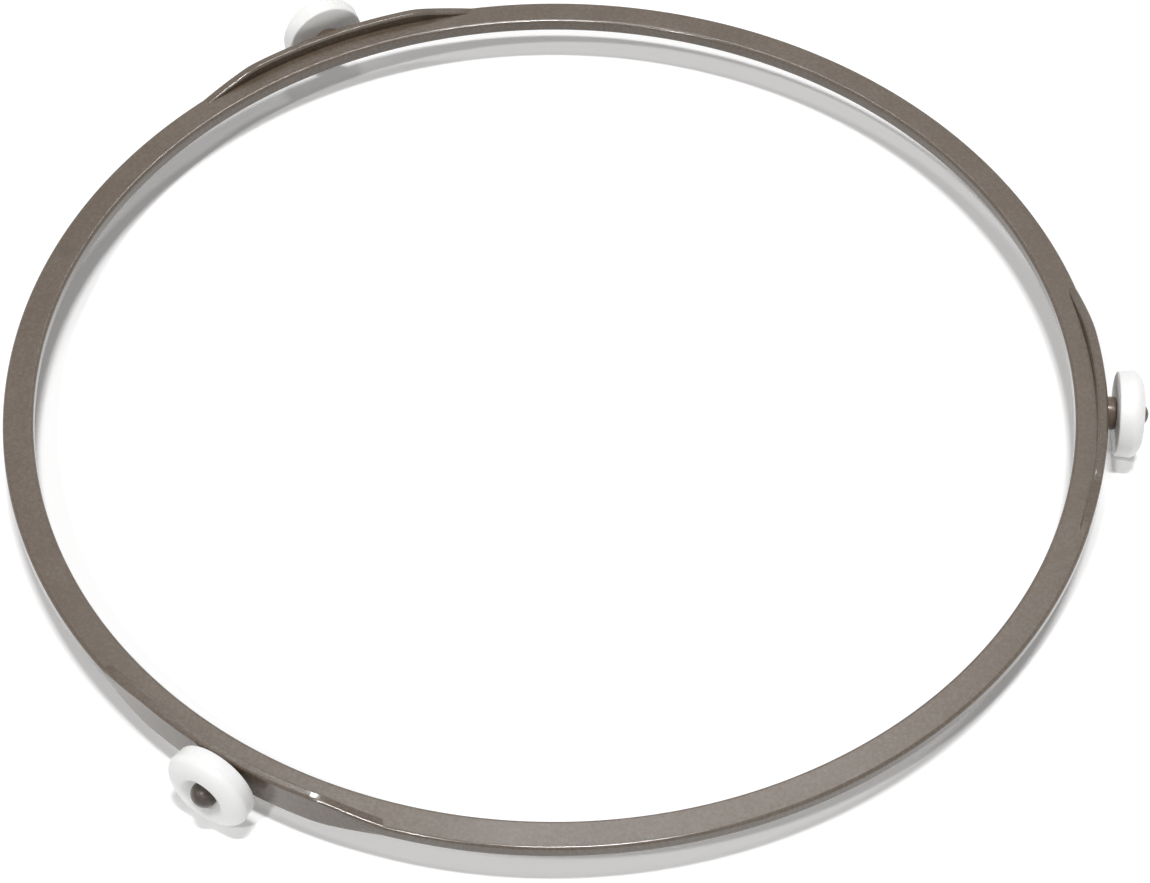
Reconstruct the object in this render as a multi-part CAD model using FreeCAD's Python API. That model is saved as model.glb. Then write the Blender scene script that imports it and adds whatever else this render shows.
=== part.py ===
import FreeCAD, Part
import math
import os

# Roller ring that carries the glass tray of a microwave oven.
# One moulded hoop with three integral pins, and a loose roller snapped over each pin.
# Millimetres, +Z up. The origin is on the ring's axis, on the floor that the rollers run on.

Vector = FreeCAD.Vector

# Hoop: a flat band with rounded edges, its middle a little above the pins
ring_outer_radius = 106.0
band_width = 5.9
band_thickness = 2.75
band_rise = 0.4
band_edge_radius = 0.45

# Stations, each with a boss, a pin and a roller
station_count = 3
first_station_angle = 0.0
roller_names = ("roller_right", "roller_back", "roller_front")

# Boss wall at each station: level over and under the pin, ramped into the band at both ends
boss_thickness = 1.95
boss_proud = 0.12
boss_height = 7.3
boss_level_angle = 10.4
boss_foot_angle = 16.9
boss_run_out_angle = 2.0
boss_run_in = 0.11
boss_corner_radius = 20.0
boss_edge_radius = 0.5

# Pin, from its shoulder on the boss to its domed snap head
shoulder_diameter = 6.4
shoulder_length = 1.68
shoulder_edge_radius = 0.3
journal_diameter = 4.6
head_diameter = 5.0
head_land = 0.1

# Roller: a wheel with a slightly tapered tread and a big rounding on its outer side
roller_diameter = 16.9
tread_inner_diameter = 16.3
tread_width = 3.35
roller_width = 5.05
roller_inner_rounding = 0.35
recess_mouth_diameter = 9.4
recess_floor_diameter = 6.0
recess_depth = 1.45

# Fits between a roller and its pin
bore_clearance = 0.08
axial_clearance = 0.15

# Heights
pin_height = roller_diameter / 2
band_middle = pin_height + band_rise
band_top = band_middle + band_thickness / 2
band_bottom = band_middle - band_thickness / 2
boss_top = band_middle + boss_height / 2
boss_bottom = band_middle - boss_height / 2

# Radii from the ring's axis
ring_inner_radius = ring_outer_radius - band_width
boss_outer_radius = ring_outer_radius + boss_proud
boss_inner_radius = boss_outer_radius - boss_thickness

# Stops along a pin, counted from the ring's axis
shoulder_end = boss_outer_radius + shoulder_length
roller_inner_face = shoulder_end + axial_clearance
roller_outer_face = roller_inner_face + roller_width
recess_floor = roller_outer_face - recess_depth
head_start = recess_floor + axial_clearance
dome_start = head_start + head_land
head_end = dome_start + head_diameter / 2


def line(start, end):
    return Part.LineSegment(start, end).toShape()


def arc(start, middle, end):
    return Part.Arc(start, middle, end).toShape()


def quarter(start, corner, end):
    """Quarter circle that rounds off a corner."""
    centre = start + end - corner
    return arc(start, centre + (corner - centre) * math.sqrt(0.5), end)


def ogee(start, end):
    """Two like arcs that make one soft step, square to the X axis at both ends."""
    half = (end - start) / 4
    middle = start + half * 2
    bulge = math.tan(math.atan2(abs(half.x), abs(half.z)) / 2)
    across = Vector(-half.z, 0, half.x) * bulge
    return [arc(start, start + half + across, middle), arc(middle, middle + half - across, end)]


def turned(along, out):
    """Point of a section turned about the X axis."""
    return Vector(along, 0, out)


def polar(radius, degrees):
    angle = math.radians(degrees)
    return Vector(radius * math.cos(angle), radius * math.sin(angle), 0)


def closed(points):
    return [line(a, b) for a, b in zip(points, points[1:] + points[:1])]


def eased(points, radius):
    """Lines through the points, with a tangent arc of one radius at each point between the ends."""
    edges = []
    start = points[0]
    for before, corner, after in zip(points, points[1:], points[2:]):
        back = (before - corner).normalize()
        ahead = (after - corner).normalize()
        half_angle = back.getAngle(ahead) / 2
        reach = radius / math.tan(half_angle)
        inward = (back + ahead).normalize()
        middle = corner + inward * (radius / math.sin(half_angle) - radius)
        end = corner + back * reach
        edges.append(line(start, end))
        start = corner + ahead * reach
        edges.append(arc(end, middle, start))
    edges.append(line(start, points[-1]))
    return edges


def revolved(edges, axis):
    face = Part.Face(Part.Wire(edges))
    return face.revolve(Vector(0, 0, 0), axis, 360)


def hoop():
    """Flat band, turned about the ring's axis, with its four edges rounded."""
    section = [
        Vector(ring_inner_radius, 0, band_bottom),
        Vector(ring_outer_radius, 0, band_bottom),
        Vector(ring_outer_radius, 0, band_top),
        Vector(ring_inner_radius, 0, band_top),
    ]
    shape = revolved(closed(section), Vector(0, 0, 1))
    return shape.makeFillet(band_edge_radius, [edge for edge in shape.Edges if is_band_edge(edge)])


def is_band_edge(edge):
    """True for the circles along the band."""
    return edge.BoundBox.XLength > ring_outer_radius


def boss():
    """Curved wall at the +X station, its crest and keel well rounded."""
    end_angle = boss_foot_angle + boss_run_out_angle
    end_radius = ring_outer_radius - boss_run_in
    outline = Part.Wire([
        arc(polar(end_radius, -end_angle), polar(boss_outer_radius, 0), polar(end_radius, end_angle)),
        line(polar(end_radius, end_angle), polar(boss_inner_radius, end_angle)),
        arc(polar(boss_inner_radius, end_angle), polar(boss_inner_radius, 0),
            polar(boss_inner_radius, -end_angle)),
        line(polar(boss_inner_radius, -end_angle), polar(end_radius, -end_angle)),
    ])
    plan = Part.Face(outline).extrude(Vector(0, 0, boss_height))
    plan.translate(Vector(0, 0, boss_bottom))

    half_level = ring_outer_radius * math.sin(math.radians(boss_level_angle))
    half_foot = ring_outer_radius * math.sin(math.radians(boss_foot_angle))
    half_end = ring_outer_radius * math.sin(math.radians(end_angle))
    slope = (boss_top - band_top) / (half_foot - half_level)
    drop = slope * (half_end - half_level)
    keel = [
        Vector(0, -half_end, boss_bottom + drop),
        Vector(0, -half_level, boss_bottom),
        Vector(0, half_level, boss_bottom),
        Vector(0, half_end, boss_bottom + drop),
    ]
    crest = [
        Vector(0, half_end, boss_top - drop),
        Vector(0, half_level, boss_top),
        Vector(0, -half_level, boss_top),
        Vector(0, -half_end, boss_top - drop),
    ]
    side = Part.Wire([
        *eased(keel, boss_corner_radius),
        line(keel[-1], crest[0]),
        *eased(crest, boss_corner_radius),
        line(crest[-1], keel[0]),
    ])
    ramps = Part.Face(side).extrude(Vector(boss_outer_radius, 0, 0))
    wall = plan.common(ramps).removeSplitter().Solids[0]
    return wall.makeFillet(boss_edge_radius, [edge for edge in wall.Edges if is_boss_edge(edge)])


def is_boss_edge(edge):
    """True for the long edges of the boss's crest and keel."""
    box = edge.BoundBox
    along = box.YLength > boss_thickness
    return along and abs(box.Center.z - band_middle) > band_thickness / 2


def pin():
    """Shoulder, journal and domed snap head of the pin at the +X station, turned about its own axis."""
    root = boss_inner_radius + boss_thickness / 2
    shoulder = shoulder_diameter / 2
    journal = journal_diameter / 2
    head = head_diameter / 2
    root_middle = turned(root, 0)
    root_edge = turned(root, shoulder)
    edge_start = turned(shoulder_end - shoulder_edge_radius, shoulder)
    edge_end = turned(shoulder_end, shoulder - shoulder_edge_radius)
    journal_start = turned(shoulder_end, journal)
    journal_end = turned(head_start, journal)
    land_start = turned(head_start, head)
    land_end = turned(dome_start, head)
    tip = turned(head_end, 0)
    edges = [
        line(root_middle, root_edge),
        line(root_edge, edge_start),
        quarter(edge_start, turned(shoulder_end, shoulder), edge_end),
        line(edge_end, journal_start),
        line(journal_start, journal_end),
        line(journal_end, land_start),
        line(land_start, land_end),
        quarter(land_end, turned(head_end, head), tip),
        line(tip, root_middle),
    ]
    shape = revolved(edges, Vector(1, 0, 0))
    shape.translate(Vector(0, 0, pin_height))
    return shape


def roller():
    """Roller at the +X station, with a dished outer side, turned about the pin's axis."""
    bore = journal_diameter / 2 + bore_clearance
    inner = roller_inner_face
    outer = roller_outer_face
    rim = roller_diameter / 2
    rim_inner = tread_inner_diameter / 2
    bore_inner = turned(inner, bore)
    face_edge = turned(inner, rim_inner - roller_inner_rounding)
    tread_start = turned(inner + roller_inner_rounding, rim_inner)
    tread_end = turned(inner + tread_width, rim)
    face_start = turned(outer, rim - (roller_width - tread_width))
    mouth = turned(outer, recess_mouth_diameter / 2)
    floor_edge = turned(recess_floor, recess_floor_diameter / 2)
    bore_outer = turned(recess_floor, bore)
    edges = [
        line(bore_inner, face_edge),
        quarter(face_edge, turned(inner, rim_inner), tread_start),
        line(tread_start, tread_end),
        quarter(tread_end, turned(outer, rim), face_start),
        line(face_start, mouth),
        *ogee(mouth, floor_edge),
        line(floor_edge, bore_outer),
        line(bore_outer, bore_inner),
    ]
    shape = revolved(edges, Vector(1, 0, 0))
    shape.translate(Vector(0, 0, pin_height))
    return shape


def at_station(shape, index):
    angle = first_station_angle + index * 360 / station_count
    copy = shape.copy()
    copy.rotate(Vector(0, 0, 0), Vector(0, 0, 1), angle)
    return copy


def support_ring():
    pieces = []
    for index in range(station_count):
        pieces.append(at_station(boss(), index))
        pieces.append(at_station(pin(), index))
    return hoop().multiFuse(pieces).removeSplitter().Solids[0]


os.makedirs("parts", exist_ok=True)
support_ring().exportStep("parts/support_ring.step")
for index, name in enumerate(roller_names):
    at_station(roller(), index).exportStep("parts/" + name + ".step")
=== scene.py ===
"""Microwave roller ring: a moulded hoop with free-turning rollers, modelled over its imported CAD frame."""

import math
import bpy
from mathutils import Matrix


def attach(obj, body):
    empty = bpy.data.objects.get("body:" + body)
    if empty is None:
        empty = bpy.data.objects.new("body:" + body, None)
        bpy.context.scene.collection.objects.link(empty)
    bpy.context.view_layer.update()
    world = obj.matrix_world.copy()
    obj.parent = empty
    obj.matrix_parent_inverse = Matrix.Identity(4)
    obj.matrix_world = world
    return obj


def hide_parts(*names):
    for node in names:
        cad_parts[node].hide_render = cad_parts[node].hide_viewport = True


bl_info = {
    "name": "Microwave Roller Ring",
    "version": (1, 2, 0),
    "blender": (4, 5, 0),
    "location": "View3D > Sidebar > Roller Ring",
    "description": "Models a microwave oven's roller ring and sets up a plain studio for it",
    "category": "Add Mesh",
}

import bmesh
import bpy
from mathutils import Vector

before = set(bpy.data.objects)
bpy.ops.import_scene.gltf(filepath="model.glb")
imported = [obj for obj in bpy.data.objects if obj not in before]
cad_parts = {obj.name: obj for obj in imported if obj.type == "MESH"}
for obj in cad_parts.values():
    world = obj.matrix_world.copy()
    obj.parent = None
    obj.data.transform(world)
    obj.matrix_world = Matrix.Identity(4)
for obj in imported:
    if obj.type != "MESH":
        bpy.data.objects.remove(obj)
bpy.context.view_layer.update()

# Each station: where it is, and so the names of its node, its body and its piece
STATIONS = ("right", "back", "front")
UP = Vector((0.0, 0.0, 1.0))
PIN_AXIS = Vector((1.0, 0.0, 0.0))

# Points closer than this gap are one point, and edges flatter than this angle are shaded softly
MERGE_GAP = 1e-6
SHARP_ANGLE = math.radians(30.0)

# Steps in the round stretches of an outline
CORNER_STEPS = 8
CROWN_STEPS = 20
SHOULDER_EDGE_STEPS = 6
DOME_STEPS = 16

# Skin of both plastics: its clouds, its grain with a depth in metres, and its specks
CLOUD_DETAIL = 4.0
CLOUD_LIMITS = (0.32, 0.68)
GRAIN_DETAIL = 3.0
GRAIN_DEPTH = 0.0001
SPECK_LIMITS = (0.10, 0.24)
SPECK_STRENGTH = 0.5

# Ring: how grain and clouds make it paler and duller, and how its heads are rubbed
MOTTLE_GAIN = 3.0
MOTTLE_OFFSET = -1.35
CLOUD_PALENESS = 0.4
CLOUD_DULLNESS = 0.03
RUB_SCALE = 900.0
RUB_LIMITS = (0.40, 0.66)
RUBBED_DARKNESS = 0.35

# Ring: blur of its head colour and of its polish, and where over the band a crest's polish comes in,
# all in metres
HEAD_BLUR = 0.0002
POLISH_BLUR = 0.0001
CREST_LIMITS = (0.0003, 0.0005)

# Rollers: their film of dirt, the change of roughness under it, and how red, green and blue spread in them
SOIL_START = 0.35
SOIL_MOST = 0.10
GLOSS_CHANGE = (-0.05, 0.08)
GLOW_SPREAD = (1.0, 0.95, 0.85)

# Sockets for colours on a Mix node
MIX_FACTOR = 0
MIX_FIRST = 6
MIX_SECOND = 7
MIX_RESULT = 2


def length(name, millimetres, description):
    return bpy.props.FloatProperty(
        name=name, description=description, unit="LENGTH", min=0.0, precision=5, default=millimetres / 1000,
    )


def angle(name, degrees, description):
    return bpy.props.FloatProperty(
        name=name, description=description, unit="ROTATION", min=0.0, default=math.radians(degrees),
    )


def turn(name, degrees, description):
    return bpy.props.FloatVectorProperty(
        name=name, description=description, subtype="EULER", unit="ROTATION", size=3,
        default=[math.radians(value) for value in degrees],
    )


def share(name, default, description):
    return bpy.props.FloatProperty(
        name=name, description=description, subtype="FACTOR", min=0.0, max=1.0, default=default,
    )


def colour(name, default, description):
    return bpy.props.FloatVectorProperty(
        name=name, description=description, subtype="COLOR", size=3, min=0.0, max=1.0, default=default,
    )


def count(name, default, description):
    return bpy.props.IntProperty(name=name, description=description, min=2, default=default)


class RollerRingForm(bpy.types.PropertyGroup):
    """Sizes of the hoop, its bosses and pins, and the rollers."""

    ring_outer_radius: length("Ring outer radius", 106.0, "Outer radius of the hoop")
    band_width: length("Band width", 5.9, "Width of the hoop's flat band")
    band_thickness: length("Band thickness", 2.75, "Thickness of the hoop's flat band")
    band_rise: length("Band rise", 0.4, "Height of the band's middle over the pins")
    band_edge_radius: length("Band edge radius", 0.62, "Rounding of the band's edges")
    boss_thickness: length("Boss thickness", 1.95, "Thickness of the wall behind each pin")
    boss_proud: length("Boss proud", 0.12, "How far the wall stands out from the band")
    boss_height: length("Boss height", 7.3, "Height of the wall at its level middle")
    boss_level_angle: angle("Boss level angle", 10.4, "Half angle of the wall's level middle")
    boss_foot_angle: angle("Boss foot angle", 16.9, "Half angle at which its ramps meet the band")
    boss_end_angle: angle("Boss end angle", 18.9, "Half angle at which its ramps end in the band")
    boss_run_in: length("Boss run-in", 0.11, "How far the wall's ends are sunk in the band")
    boss_corner_radius: length("Boss corner radius", 20.0, "Rounding from the level middle to a ramp")
    boss_edge_radius: length("Boss edge radius", 0.5, "Rounding of the wall's crest and keel")
    shoulder_diameter: length("Shoulder diameter", 6.4, "Diameter of a pin's shoulder")
    shoulder_length: length("Shoulder length", 1.68, "Length of a pin's shoulder")
    shoulder_edge_radius: length("Shoulder edge radius", 0.3, "Rounding of a shoulder's end")
    journal_diameter: length("Journal diameter", 4.6, "Diameter of a pin inside its roller")
    head_diameter: length("Head diameter", 5.0, "Diameter of a pin's snap head")
    head_land: length("Head land", 0.1, "Straight part of a snap head")
    roller_diameter: length("Roller diameter", 16.9, "Largest diameter of a roller's tread")
    tread_inner_diameter: length("Tread inner diameter", 16.3, "Diameter of the tread beside the hoop")
    tread_width: length("Tread width", 2.65, "Width of the tread up to the outer rounding")
    roller_width: length("Roller width", 5.05, "Width of a roller over its faces")
    roller_inner_rounding: length("Roller inner rounding", 0.35, "Rounding of the rim beside the hoop")
    bore_edge_radius: length("Bore edge radius", 0.15, "Rounding of a bore's ends")
    crown_diameter: length("Crown diameter", 10.0, "Diameter at which a roller is widest")
    dish_mouth_diameter: length("Dish mouth diameter", 8.9, "Diameter at which the outer side turns in")
    dish_floor_diameter: length("Dish floor diameter", 5.8, "Diameter of the dish's floor")
    dish_depth: length("Dish depth", 1.45, "Depth of the dish round a pin's head")
    dish_mouth_rounding: length("Dish mouth rounding", 1.3, "Rounding of the dish's mouth")
    dish_floor_rounding: length("Dish floor rounding", 0.7, "Rounding at the foot of the dish's wall")
    bore_clearance: length("Bore clearance", 0.08, "Room round a pin in its roller")
    axial_clearance: length("Axial clearance", 0.15, "Room at each end of a roller")
    hoop_steps: count("Hoop steps", 360, "Sections round the hoop")
    boss_steps: count("Boss steps", 72, "Sections along a boss")
    pin_steps: count("Pin steps", 72, "Sections round a pin")
    roller_steps: count("Roller steps", 128, "Sections round a roller")


class RollerRingFinish(bpy.types.PropertyGroup):
    """Colours, gloss and wear of the moulded plastics."""

    ring_colour: colour("Ring colour", (0.095, 0.067, 0.044), "Brown-grey of the moulded hoop")
    ring_pale_colour: colour("Ring pale colour", (0.131, 0.101, 0.075), "Paler clouds in that plastic")
    ring_speck_colour: colour("Ring speck colour", (0.060, 0.050, 0.042), "Small dark specks on the hoop")
    head_colour: colour("Head colour", (0.055, 0.046, 0.038), "Rubbed dark skin of the pins' snap heads")
    ring_roughness: share("Ring roughness", 0.28, "Satin of the hoop's moulded skin")
    edge_roughness: share("Edge roughness", 0.16, "Gloss of the hoop's rounded edges and crests")
    edge_polish: share("Edge polish", 0.5, "Strength of the polish that handling gave those edges")
    roller_colour: colour("Roller colour", (0.98, 0.98, 0.965), "White of the rollers")
    # This colour serves both the film of dirt and the painted shade round the pins' heads
    roller_soil_and_shade_colour: colour("Roller soil and shade colour", (0.66, 0.67, 0.61), "Film of dirt on the rollers")
    # Painted shade round a pin's head, in its dish, laid on in the dirt film's colour
    dish_painted_shade: share("Dish painted shade", 0.3, "How much of that dirt lies round a pin's head")
    roller_roughness: share("Roller roughness", 0.38, "Gloss of the rollers")
    roller_glow: share("Roller glow", 0.35, "How much of the light soaks into a roller")
    roller_glow_depth: length("Roller glow depth", 2.5, "How far light spreads inside a roller")


class RollerRingStage(bpy.types.PropertyGroup):
    """Floor, light and camera."""

    floor_colour: colour("Floor colour", (0.97, 0.97, 0.97), "White of the studio floor")
    floor_lift: share("Floor lift", 0.18, "Glow that keeps the floor white to the camera")
    floor_size: length("Floor size", 8000.0, "Side of the square floor")
    key_share: share("Key share", 0.61, "Share of the floor's light from the overhead strip")
    key_turn: turn("Key turn", (2.6, 2.8, 0.0), "Tilt of the overhead strip")
    key_spread: angle("Key spread", 9.0, "Angle from one end of the overhead strip to the other")
    key_lamps: count("Key lamps", 5, "Lamps that make up the overhead strip")
    side_share: share("Side share", 0.21, "Share of the floor's light from the front left")
    side_turn: turn("Side turn", (29.2, -17.0, 0.0), "Tilt of the front left lamp")
    back_share: share("Back share", 0.1, "Share of the floor's light from the back")
    back_turn: turn("Back turn", (-33.0, -0.8, 0.0), "Tilt of the back lamp, for the band's sheen")
    back_width: angle("Back width", 7.0, "Angle that the back lamp covers")
    lamp_width: angle("Lamp width", 4.0, "Angle that each other lamp covers")
    fill_share: share("Fill share", 0.12, "Share of the floor's light from all round")
    camera_place: bpy.props.FloatVectorProperty(
        name="Camera place", description="Where the camera stands",
        subtype="TRANSLATION", unit="LENGTH", size=3, default=(0.025796, -0.421461, 0.507885),
    )
    camera_turn: turn("Camera turn", (39.30773, -0.19628, 3.20676), "How the camera is turned")
    camera_lens: bpy.props.FloatProperty(
        name="Camera lens", description="Focal length on a 36 mm sensor, in millimetres",
        min=1.0, default=105.873,
    )


# Directions, heights and stops that follow from the sizes

def station_turn(index):
    """Direction of a station's pin, counted round the hoop from the first one."""
    return index * math.tau / len(STATIONS)


def pin_height(form):
    return form.roller_diameter / 2


def band_middle(form):
    return pin_height(form) + form.band_rise


def band_top(form):
    return band_middle(form) + form.band_thickness / 2


def boss_outer_radius(form):
    return form.ring_outer_radius + form.boss_proud


def shoulder_end(form):
    return boss_outer_radius(form) + form.shoulder_length


def roller_faces(form):
    """Where a roller's inner and outer faces are, along its pin."""
    inner = shoulder_end(form) + form.axial_clearance
    return inner, inner + form.roller_width


def head_start(form):
    """Where a pin's snap head begins, along the pin."""
    return roller_faces(form)[1] - form.dish_depth + form.axial_clearance


# Outlines: points across and up, in the plane that is then spun

def rounded(corners):
    """Closed outline through corners (across, up, radius), each rounded by its own radius, or kept at 0."""
    points = []
    for before, corner, after in zip(corners[-1:] + corners[:-1], corners, corners[1:] + corners[:1]):
        tip = Vector(corner[:2])
        radius = corner[2]
        if radius == 0.0:
            points.append(tip)
            continue
        back = (Vector(before[:2]) - tip).normalized()
        ahead = (Vector(after[:2]) - tip).normalized()
        half = back.angle(ahead) / 2
        centre = tip + (back + ahead).normalized() * radius / math.sin(half)
        reach = radius / math.tan(half)
        points += arc(centre, tip + back * reach, tip + ahead * reach, CORNER_STEPS)
    return points + points[:1]


def rounded_box(near, far, bottom, top, radius):
    """Closed outline of an upright rectangle, its corners rounded alike."""
    corners = ((near, bottom), (far, bottom), (far, top), (near, top))
    return rounded([(across, up, radius) for across, up in corners])


def arc(centre, start, end, steps):
    """Points of a circle's arc, both ends included."""
    first, last = start - centre, end - centre
    opening = first.angle(last)
    return [
        centre + (first * math.sin((1 - t) * opening) + last * math.sin(t * opening)) / math.sin(opening)
        for t in (step / steps for step in range(steps + 1))
    ]


def crowned(start, end):
    """Corners along a quarter ellipse, level where it starts and upright where it ends."""
    quarter = [math.pi / 2 * step / CROWN_STEPS for step in range(CROWN_STEPS + 1)]
    return [
        (start[0] + (end[0] - start[0]) * math.sin(t), end[1] + (start[1] - end[1]) * math.cos(t), 0.0)
        for t in quarter
    ]


# Modelling moves

def pick(context, piece):
    """Make a piece the only one selected."""
    bpy.ops.object.select_all(action="DESELECT")
    piece.select_set(True)
    context.view_layer.objects.active = piece


def lathe(context, name, outline, centre, axis, steps, sweep=math.tau):
    """Draw an outline as one vertex extruded from point to point, and spin it about an axis."""
    bpy.ops.object.select_all(action="DESELECT")
    bpy.ops.mesh.primitive_plane_add(size=MERGE_GAP)
    piece = context.object
    piece.name = name
    bpy.ops.object.mode_set(mode="EDIT")
    bpy.ops.mesh.merge(type="CENTER")
    bpy.ops.transform.translate(value=outline[0])
    for start, end in zip(outline, outline[1:]):
        bpy.ops.mesh.extrude_vertices_move(TRANSFORM_OT_translate={"value": end - start})
    bpy.ops.mesh.select_all(action="SELECT")
    bpy.ops.mesh.spin(steps=steps, angle=sweep, center=centre, axis=axis)
    bpy.ops.mesh.select_all(action="SELECT")
    bpy.ops.mesh.remove_doubles(threshold=MERGE_GAP)
    bpy.ops.mesh.fill_holes(sides=0)
    bpy.ops.mesh.normals_make_consistent(inside=False)
    bpy.ops.object.mode_set(mode="OBJECT")
    return piece


def lathe_on_pin(context, form, name, section, steps):
    """Spin a section, given along the pin at the right station and out from it, about that pin."""
    axis_height = UP * pin_height(form)
    outline = [PIN_AXIS * along + UP * out + axis_height for along, out in section]
    return lathe(context, name, outline, axis_height, PIN_AXIS, steps)


def move_where(piece, test, step):
    """Move the vertices that pass a test, in edit mode."""
    mesh = bmesh.from_edit_mesh(piece.data)
    for vertex in mesh.verts:
        vertex.select_set(test(vertex.co))
    bmesh.update_edit_mesh(piece.data)
    bpy.ops.transform.translate(value=step)


def at_stations(context, piece):
    """The piece and its copies, one at each station."""
    pieces = [piece]
    for index in range(1, len(STATIONS)):
        pick(context, piece)
        bpy.ops.object.duplicate()
        copy = context.object
        copy.rotation_euler.z = station_turn(index)
        bpy.ops.object.transform_apply(location=False, rotation=True, scale=False)
        pieces.append(copy)
    return pieces


def unite(context, base, tools):
    """Fuse the tools into the base, as one moulding."""
    for tool in tools:
        pick(context, base)
        bpy.ops.object.modifier_add(type="BOOLEAN")
        union = base.modifiers[-1]
        union.operation = "UNION"
        union.solver = "EXACT"
        union.object = tool
        bpy.ops.object.modifier_apply(modifier=union.name)
        pick(context, tool)
        bpy.ops.object.delete()
    pick(context, base)
    bpy.ops.object.mode_set(mode="EDIT")
    bpy.ops.mesh.select_all(action="SELECT")
    bpy.ops.mesh.remove_doubles(threshold=MERGE_GAP)
    bpy.ops.object.mode_set(mode="OBJECT")


def smooth(context, piece):
    """Shade the rounded edges softly and keep the flat faces flat."""
    pick(context, piece)
    bpy.ops.object.shade_smooth_by_angle(angle=SHARP_ANGLE)
    bpy.ops.object.modifier_add(type="WEIGHTED_NORMAL")
    weighted = piece.modifiers[-1]
    weighted.keep_sharp = True
    bpy.ops.object.modifier_apply(modifier=weighted.name)


# The hoop, its bosses and its pins

def hoop(context, form):
    """Flat band with rounded edges, inside its outer radius by the little that a spin can drift."""
    outer = form.ring_outer_radius - MERGE_GAP
    inner = outer - form.band_width
    top = band_top(form)
    section = rounded_box(inner, outer, top - form.band_thickness, top, form.band_edge_radius)
    outline = [Vector((across, 0.0, up)) for across, up in section]
    return lathe(context, "moulded_ring", outline, (0.0, 0.0, 0.0), UP, form.hoop_steps)


def crest_drop(form, along):
    """How much lower a boss's crest is this far along its wall: level, then an arc, then a ramp."""
    level = form.ring_outer_radius * math.sin(form.boss_level_angle)
    foot = form.ring_outer_radius * math.sin(form.boss_foot_angle)
    slope = (form.boss_height - form.band_thickness) / 2 / (foot - level)
    reach = form.boss_corner_radius * math.tan(math.atan(slope) / 2)
    past = abs(along) - (level - reach)
    if past <= 0.0:
        return 0.0
    if past >= reach + reach * math.cos(math.atan(slope)):
        return slope * (abs(along) - level)
    return form.boss_corner_radius - math.sqrt(form.boss_corner_radius ** 2 - past ** 2)


def lower_section(wall, centre, place, reach, middle, drop):
    """Bring the crest and keel of one section of a boss's wall nearer to its middle."""

    def in_section(point):
        return abs(math.atan2(point.y, point.x - centre) - place) < reach

    move_where(wall, lambda point: in_section(point) and point.z > middle, -UP * drop)
    move_where(wall, lambda point: in_section(point) and point.z < middle, UP * drop)


def boss(context, form):
    """Wall on the hoop's edge at the right station, ramped into the band at both ends."""
    outer = boss_outer_radius(form)
    end = form.ring_outer_radius - form.boss_run_in
    middle = band_middle(form)
    # The wall curves along the circle through its proud middle and its two sunk ends
    centre = (outer ** 2 - end ** 2) / (2 * (outer - end * math.cos(form.boss_end_angle)))
    half_sweep = math.asin(end * math.sin(form.boss_end_angle) / (outer - centre))
    far = outer - centre
    near = far - form.boss_thickness
    top = middle + form.boss_height / 2
    bottom = middle - form.boss_height / 2
    section = rounded_box(near, far, bottom, top, form.boss_edge_radius)
    start = Vector((math.cos(half_sweep), -math.sin(half_sweep), 0.0))
    middle_of_spin = Vector((centre, 0.0, 0.0))
    outline = [middle_of_spin + start * across + UP * up for across, up in section]
    wall = lathe(context, "boss", outline, middle_of_spin, -UP, form.boss_steps, 2 * half_sweep)

    pick(context, wall)
    bpy.ops.object.mode_set(mode="EDIT")
    step_angle = 2 * half_sweep / form.boss_steps
    for step in range(form.boss_steps + 1):
        place = step * step_angle - half_sweep
        drop = crest_drop(form, far * math.sin(place))
        if drop > 0.0:
            lower_section(wall, centre, place, step_angle / 2, middle, drop)
    bpy.ops.object.mode_set(mode="OBJECT")
    return wall


def pin(context, form):
    """Shoulder, journal and domed snap head at the right station."""
    root = boss_outer_radius(form) - form.boss_thickness / 2
    step = shoulder_end(form)
    stop = head_start(form)
    dome_start = stop + form.head_land
    shoulder = form.shoulder_diameter / 2
    journal = form.journal_diameter / 2
    head = form.head_diameter / 2
    edge = form.shoulder_edge_radius
    section = [
        Vector((root, 0.0)),
        Vector((root, shoulder)),
        *arc(Vector((step - edge, shoulder - edge)), Vector((step - edge, shoulder)),
             Vector((step, shoulder - edge)), SHOULDER_EDGE_STEPS),
        Vector((step, journal)),
        Vector((stop, journal)),
        Vector((stop, head)),
        *arc(Vector((dome_start, 0.0)), Vector((dome_start, head)),
             Vector((dome_start + head, 0.0)), DOME_STEPS),
    ]
    return lathe_on_pin(context, form, "pin", section, form.pin_steps)


# The rollers

def roller(context, form):
    """Roller at the right station: tapered tread, crowned outer side, soft dish round the pin's head."""
    inner, outer = roller_faces(form)
    bore = form.journal_diameter / 2 + form.bore_clearance
    rim = form.roller_diameter / 2
    dish_floor = outer - form.dish_depth
    section = rounded([
        (inner, bore, form.bore_edge_radius),
        (inner, form.tread_inner_diameter / 2, form.roller_inner_rounding),
        *crowned((inner + form.tread_width, rim), (outer, form.crown_diameter / 2)),
        (outer, form.dish_mouth_diameter / 2, form.dish_mouth_rounding),
        (dish_floor, form.dish_floor_diameter / 2, form.dish_floor_rounding),
        (dish_floor, bore, form.bore_edge_radius),
    ])
    return lathe_on_pin(context, form, "roller", section, form.roller_steps)


# Finishes

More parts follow.
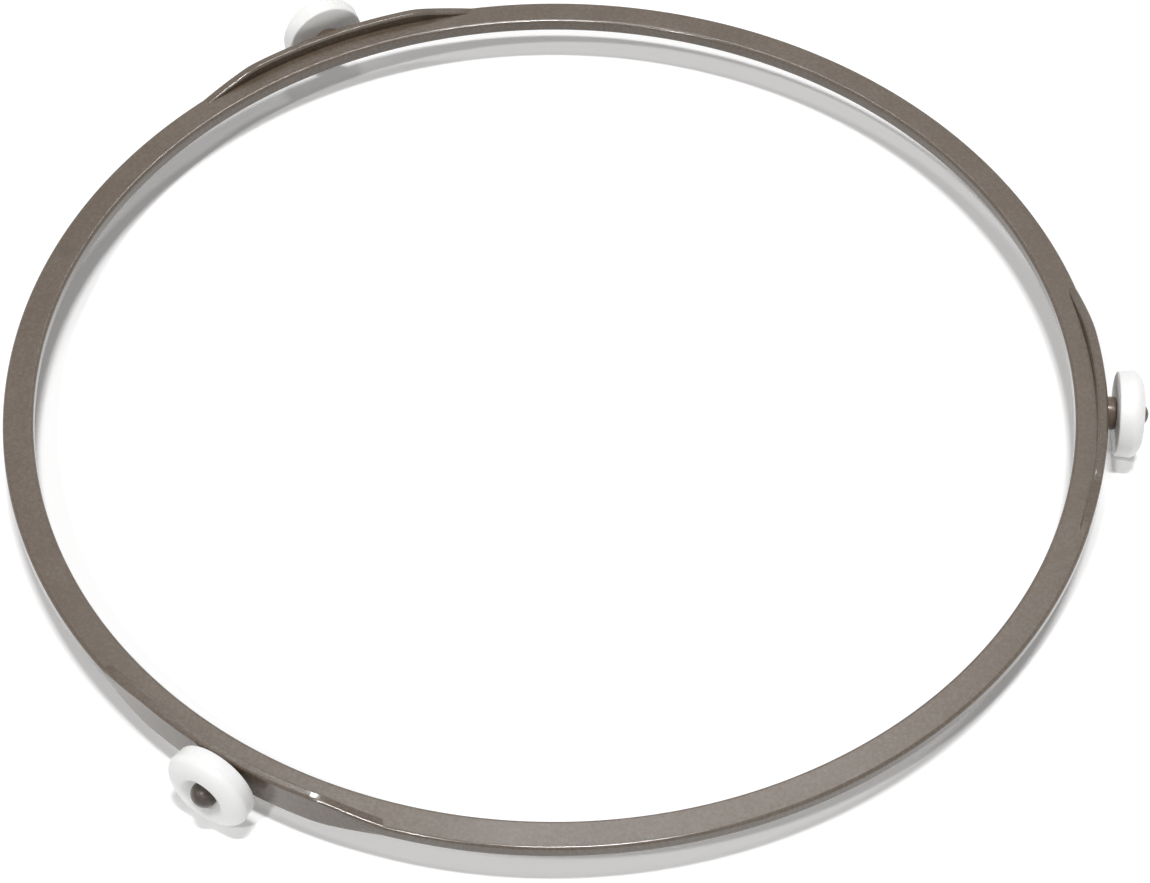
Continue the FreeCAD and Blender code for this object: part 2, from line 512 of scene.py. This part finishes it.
class NodeSheet:
    """A node tree with short calls to add, set and link its nodes."""

    def __init__(self, tree):
        self.tree = tree

    def add(self, kind, settings=None, **inputs):
        """Add a node; inputs are values or sockets, named as on the node."""
        node = self.tree.nodes.new(kind)
        for name, value in (settings or {}).items():
            setattr(node, name, value)
        for name, value in inputs.items():
            self.feed(node.inputs[name], value)
        return node

    def feed(self, socket, value):
        if isinstance(value, bpy.types.NodeSocket):
            self.tree.links.new(value, socket)
        else:
            socket.default_value = value

    def noise(self, vector, scale, detail=2.0):
        node = self.add("ShaderNodeTexNoise", Vector=vector, Scale=scale, Detail=detail)
        return node.outputs["Fac"]

    def remap(self, value, low, high, to_low=0.0, to_high=1.0):
        node = self.add("ShaderNodeMapRange", {"interpolation_type": "SMOOTHSTEP"}, Value=value)
        for name, limit in (("From Min", low), ("From Max", high), ("To Min", to_low), ("To Max", to_high)):
            self.feed(node.inputs[name], limit)
        return node.outputs["Result"]

    def maths(self, operation, *values):
        node = self.add("ShaderNodeMath", {"operation": operation})
        for socket, value in zip(node.inputs, values):
            self.feed(socket, value)
        return node.outputs[0]

    def from_axis(self, place, across):
        """How far a place is from an axis through the origin; across is 0 along it and 1 across it."""
        flat = self.add("ShaderNodeVectorMath", {"operation": "MULTIPLY"})
        self.feed(flat.inputs[0], place)
        self.feed(flat.inputs[1], across)
        away = self.add("ShaderNodeVectorMath", {"operation": "LENGTH"}, Vector=flat.outputs["Vector"])
        return away.outputs["Value"]

    def blend(self, factor, first, second):
        """Mix two colours."""
        node = self.add("ShaderNodeMix", {"data_type": "RGBA"})
        self.feed(node.inputs[MIX_FACTOR], factor)
        self.feed(node.inputs[MIX_FIRST], first)
        self.feed(node.inputs[MIX_SECOND], second)
        return node.outputs[MIX_RESULT]


def opaque(colour_value):
    return (*colour_value, 1.0)


def moulded_skin():
    """Node group shared by the plastics: broad clouds, fine mould grain and scattered specks."""
    name = "moulded_skin"
    if name in bpy.data.node_groups:
        return bpy.data.node_groups[name]
    group = bpy.data.node_groups.new(name, "ShaderNodeTree")
    group.interface.new_socket("Place", in_out="INPUT", socket_type="NodeSocketVector")
    for socket in ("Cloud Scale", "Grain Scale", "Speck Scale", "Speck Share"):
        group.interface.new_socket(socket, in_out="INPUT", socket_type="NodeSocketFloat")
    for socket in ("Clouds", "Grain", "Specks"):
        group.interface.new_socket(socket, in_out="OUTPUT", socket_type="NodeSocketFloat")
    sheet = NodeSheet(group)
    given = group.nodes.new("NodeGroupInput").outputs
    result = group.nodes.new("NodeGroupOutput").inputs
    clouds = sheet.noise(given["Place"], given["Cloud Scale"], CLOUD_DETAIL)
    sheet.feed(result["Clouds"], sheet.remap(clouds, *CLOUD_LIMITS))
    sheet.feed(result["Grain"], sheet.noise(given["Place"], given["Grain Scale"], GRAIN_DETAIL))
    flecks = sheet.add("ShaderNodeTexVoronoi", Vector=given["Place"], Scale=given["Speck Scale"]).outputs
    lot = sheet.add("ShaderNodeSeparateColor", Color=flecks["Color"]).outputs[0]
    chosen = sheet.maths("LESS_THAN", lot, given["Speck Share"])
    dot = sheet.remap(flecks["Distance"], *SPECK_LIMITS, 1.0, 0.0)
    sheet.feed(result["Specks"], sheet.maths("MULTIPLY", chosen, dot))
    return group


def new_material(name):
    material = bpy.data.materials.new(name)
    material.use_nodes = True
    return material, NodeSheet(material.node_tree), material.node_tree.nodes["Principled BSDF"]


def add_skin(sheet, place, clouds, grain, specks, speck_share):
    """Place the shared skin in a material, with its sizes in cells to the metre."""
    skin = sheet.add("ShaderNodeGroup", {"node_tree": moulded_skin()})
    sheet.feed(skin.inputs["Place"], place)
    for name, value in (("Cloud", clouds), ("Grain", grain), ("Speck", specks)):
        skin.inputs[name + " Scale"].default_value = value
    skin.inputs["Speck Share"].default_value = speck_share
    return skin.outputs


def add_grain(sheet, shader, skin, strength):
    """Let the skin's grain stand out a little on a plastic's surface."""
    bump = sheet.add("ShaderNodeBump", Strength=strength, Distance=GRAIN_DEPTH, Height=skin["Grain"])
    sheet.feed(shader.inputs["Normal"], bump.outputs["Normal"])


def ring_material(form, finish):
    """Satin brown-grey moulding, mottled and specked, glossier on its edges, with dark snap heads."""
    material, sheet, shader = new_material("satin_brown_plastic")
    place = sheet.add("ShaderNodeTexCoord").outputs["Object"]
    skin = add_skin(sheet, place, clouds=55.0, grain=1700.0, specks=90.0, speck_share=0.06)
    mottle = sheet.maths("MULTIPLY_ADD", skin["Grain"], MOTTLE_GAIN, MOTTLE_OFFSET)
    paleness = sheet.maths("MULTIPLY_ADD", skin["Clouds"], CLOUD_PALENESS, mottle)
    cloudy = sheet.blend(paleness, opaque(finish.ring_colour), opaque(finish.ring_pale_colour))
    specks = sheet.maths("MULTIPLY", skin["Specks"], SPECK_STRENGTH)
    specked = sheet.blend(specks, cloudy, opaque(finish.ring_speck_colour))

    away = sheet.from_axis(place, (1.0, 1.0, 0.0))
    head = head_start(form)
    on_head = sheet.remap(away, head - HEAD_BLUR, head + HEAD_BLUR)
    rubbed = sheet.remap(sheet.noise(place, RUB_SCALE), *RUB_LIMITS, 1.0, RUBBED_DARKNESS)
    headed = sheet.blend(sheet.maths("MULTIPLY", on_head, rubbed), specked, opaque(finish.head_colour))
    sheet.feed(shader.inputs["Base Color"], headed)

    half_width = form.band_width / 2
    off_middle = sheet.maths("SUBTRACT", away, form.ring_outer_radius - half_width)
    edge_start = half_width - form.band_edge_radius
    on_edge = sheet.remap(sheet.maths("ABSOLUTE", off_middle), edge_start, edge_start + POLISH_BLUR)
    height = sheet.add("ShaderNodeSeparateXYZ", Vector=place).outputs["Z"]
    on_crest = sheet.remap(height, *(band_top(form) + limit for limit in CREST_LIMITS))
    wall = boss_outer_radius(form)
    off_pin = sheet.remap(away, wall + POLISH_BLUR, wall + 2 * POLISH_BLUR, 1.0, 0.0)
    polished = sheet.maths("MULTIPLY", sheet.maths("MAXIMUM", on_edge, on_crest), off_pin)
    gloss = sheet.remap(polished, 0.0, 1.0, finish.ring_roughness, finish.edge_roughness)
    satin = sheet.maths("MULTIPLY_ADD", skin["Clouds"], CLOUD_DULLNESS, gloss)
    sheet.feed(shader.inputs["Roughness"], satin)
    sheet.feed(shader.inputs["Coat Weight"], sheet.maths("MULTIPLY", polished, finish.edge_polish))
    add_grain(sheet, shader, skin, strength=0.12)
    return material


def roller_material(form, finish, name, pin_turn):
    """White moulding that light soaks into, with a film of dirt and painted shade round its pin's head;
    pin_turn is the direction of its pin.
    """
    material, sheet, shader = new_material("white_plastic_" + name)
    place = sheet.add("ShaderNodeTexCoord").outputs["Object"]
    mapping = sheet.add(
        "ShaderNodeMapping", Vector=place,
        Location=(0.0, 0.0, -pin_height(form)), Rotation=(0.0, 0.0, -pin_turn),
    )
    on_pin = mapping.outputs["Vector"]
    skin = add_skin(sheet, on_pin, clouds=170.0, grain=2200.0, specks=420.0, speck_share=0.03)
    soil = sheet.remap(skin["Clouds"], SOIL_START, 1.0, 0.0, SOIL_MOST)
    away = sheet.from_axis(on_pin, (0.0, 1.0, 1.0))
    journal = form.journal_diameter / 2
    # Painted shade: the dirt colour laid on most round the journal and fading out at the dish's mouth, on
    # the dish and on the face beside the hoop alike
    painted_dish_shade = sheet.remap(away, journal, form.dish_mouth_diameter / 2, finish.dish_painted_shade, 0.0)
    # From here the mix carries both the real film of dirt and that painted shade
    soil_and_dish_shade = sheet.maths("MAXIMUM", soil, painted_dish_shade)
    dirt_and_dish_shade = sheet.maths("MAXIMUM", soil_and_dish_shade, sheet.maths("MULTIPLY", skin["Specks"], SPECK_STRENGTH))
    soiled_and_shaded = sheet.blend(dirt_and_dish_shade, opaque(finish.roller_colour), opaque(finish.roller_soil_and_shade_colour))
    sheet.feed(shader.inputs["Base Color"], soiled_and_shaded)

    smoothest, dullest = (finish.roller_roughness + change for change in GLOSS_CHANGE)
    sheet.feed(shader.inputs["Roughness"], sheet.remap(skin["Clouds"], 0.0, 1.0, smoothest, dullest))
    add_grain(sheet, shader, skin, strength=0.10)
    shader.inputs["Subsurface Weight"].default_value = finish.roller_glow
    shader.inputs["Subsurface Radius"].default_value = GLOW_SPREAD
    shader.inputs["Subsurface Scale"].default_value = finish.roller_glow_depth
    return material


class RollerRingAddRing(bpy.types.Operator):
    """Model the hoop with its bosses and pins as one moulding"""

    bl_idname = "roller_ring.add_ring"
    bl_label = "Add Ring"

    def execute(self, context):
        form = context.scene.roller_ring_form
        ring = hoop(context, form)
        unite(context, ring, at_stations(context, boss(context, form)))
        unite(context, ring, at_stations(context, pin(context, form)))
        smooth(context, ring)
        ring.data.materials.append(ring_material(form, context.scene.roller_ring_finish))
        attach(ring, "ring")
        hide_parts("support_ring")
        return {"FINISHED"}


class RollerRingAddRollers(bpy.types.Operator):
    """Model a roller and put one on each of the hoop's pins"""

    bl_idname = "roller_ring.add_rollers"
    bl_label = "Add Rollers"

    def execute(self, context):
        form = context.scene.roller_ring_form
        finish = context.scene.roller_ring_finish
        rollers = at_stations(context, roller(context, form))
        for index, (piece, station) in enumerate(zip(rollers, STATIONS)):
            piece.name = "white_roller_" + station
            smooth(context, piece)
            piece.data.materials.append(roller_material(form, finish, station, station_turn(index)))
            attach(piece, station + "_wheel")
            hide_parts("roller_" + station)
        return {"FINISHED"}


# The stage

def seen_directly(sheet):
    """1 for what the camera sees, also by reflection or through glass."""
    path = sheet.add("ShaderNodeLightPath").outputs
    mirrored = sheet.maths("MAXIMUM", path["Is Glossy Ray"], path["Is Transmission Ray"])
    return sheet.maths("MAXIMUM", path["Is Camera Ray"], mirrored)


def add_floor(context, stage):
    bpy.ops.object.select_all(action="DESELECT")
    bpy.ops.mesh.primitive_plane_add(size=stage.floor_size)
    floor = context.object
    floor.name = "floor"
    material, sheet, shader = new_material("white_floor")
    shader.inputs["Base Color"].default_value = opaque(stage.floor_colour)
    shader.inputs["Roughness"].default_value = 0.6
    shader.inputs["Specular IOR Level"].default_value = 0.0
    lift = sheet.maths("MULTIPLY", seen_directly(sheet), stage.floor_lift)
    glow = sheet.add("ShaderNodeEmission", Strength=lift)
    both = sheet.add("ShaderNodeAddShader")
    sheet.feed(both.inputs[0], shader.outputs["BSDF"])
    sheet.feed(both.inputs[1], glow.outputs["Emission"])
    sheet.feed(sheet.tree.nodes["Material Output"].inputs["Surface"], both.outputs["Shader"])
    floor.data.materials.append(material)


def add_lamp(context, name, lamp_turn, lamp_share, lamp_width):
    """A far lamp that gives a white floor this share of its light."""
    bpy.ops.object.light_add(type="SUN", location=UP, rotation=lamp_turn)
    lamp = context.object
    lamp.name = name
    lamp.data.energy = lamp_share * math.pi / (math.cos(lamp_turn[0]) * math.cos(lamp_turn[1]))
    lamp.data.angle = lamp_width


def add_even_light(context, fill_share):
    world = bpy.data.worlds.new("even_light")
    world.use_nodes = True
    sheet = NodeSheet(world.node_tree)
    background = world.node_tree.nodes["Background"]
    background.inputs["Color"].default_value = (1.0, 1.0, 1.0, 1.0)
    sheet.feed(background.inputs["Strength"], sheet.maths("MAXIMUM", seen_directly(sheet), fill_share))
    context.scene.world = world


def add_camera(context, stage):
    bpy.ops.object.camera_add(location=stage.camera_place, rotation=stage.camera_turn)
    camera = context.object
    camera.name = "camera"
    camera.data.sensor_width = 36.0
    camera.data.sensor_fit = "HORIZONTAL"
    camera.data.lens = stage.camera_lens
    camera.data.clip_start = 0.01
    context.scene.camera = camera


class RollerRingAddStage(bpy.types.Operator):
    """Set up the floor, the light and the camera"""

    bl_idname = "roller_ring.add_stage"
    bl_label = "Add Stage"

    def execute(self, context):
        stage = context.scene.roller_ring_stage
        add_floor(context, stage)
        for index in range(stage.key_lamps):
            along = index / (stage.key_lamps - 1) - 0.5
            lamp_turn = (stage.key_turn[0], stage.key_turn[1] + along * stage.key_spread, 0.0)
            add_lamp(context, "key_lamp", lamp_turn, stage.key_share / stage.key_lamps, stage.lamp_width)
        add_lamp(context, "side_lamp", stage.side_turn, stage.side_share, stage.lamp_width)
        add_lamp(context, "back_lamp", stage.back_turn, stage.back_share, stage.back_width)
        add_even_light(context, stage.fill_share)
        add_camera(context, stage)
        context.scene.view_settings.view_transform = "Standard"
        return {"FINISHED"}


class VIEW3D_PT_roller_ring(bpy.types.Panel):
    """Lists what the roller ring is made of"""

    bl_label = "Roller Ring"
    bl_space_type = "VIEW_3D"
    bl_region_type = "UI"
    bl_category = "Roller Ring"

    def draw(self, context):
        scene = context.scene
        for owner in (scene.roller_ring_form, scene.roller_ring_finish, scene.roller_ring_stage):
            for name in owner.__annotations__:
                self.layout.prop(owner, name)
        for operator in (RollerRingAddRing, RollerRingAddRollers, RollerRingAddStage):
            self.layout.operator(operator.bl_idname)


classes = (
    RollerRingForm,
    RollerRingFinish,
    RollerRingStage,
    RollerRingAddRing,
    RollerRingAddRollers,
    RollerRingAddStage,
    VIEW3D_PT_roller_ring,
)


def register():
    for cls in classes:
        bpy.utils.register_class(cls)
    bpy.types.Scene.roller_ring_form = bpy.props.PointerProperty(type=RollerRingForm)
    bpy.types.Scene.roller_ring_finish = bpy.props.PointerProperty(type=RollerRingFinish)
    bpy.types.Scene.roller_ring_stage = bpy.props.PointerProperty(type=RollerRingStage)


def unregister():
    del bpy.types.Scene.roller_ring_stage
    del bpy.types.Scene.roller_ring_finish
    del bpy.types.Scene.roller_ring_form
    for cls in reversed(classes):
        bpy.utils.unregister_class(cls)


def main():
    register()
    bpy.ops.roller_ring.add_ring()
    bpy.ops.roller_ring.add_rollers()
    bpy.ops.roller_ring.add_stage()


if __name__ == "__main__":
    main()
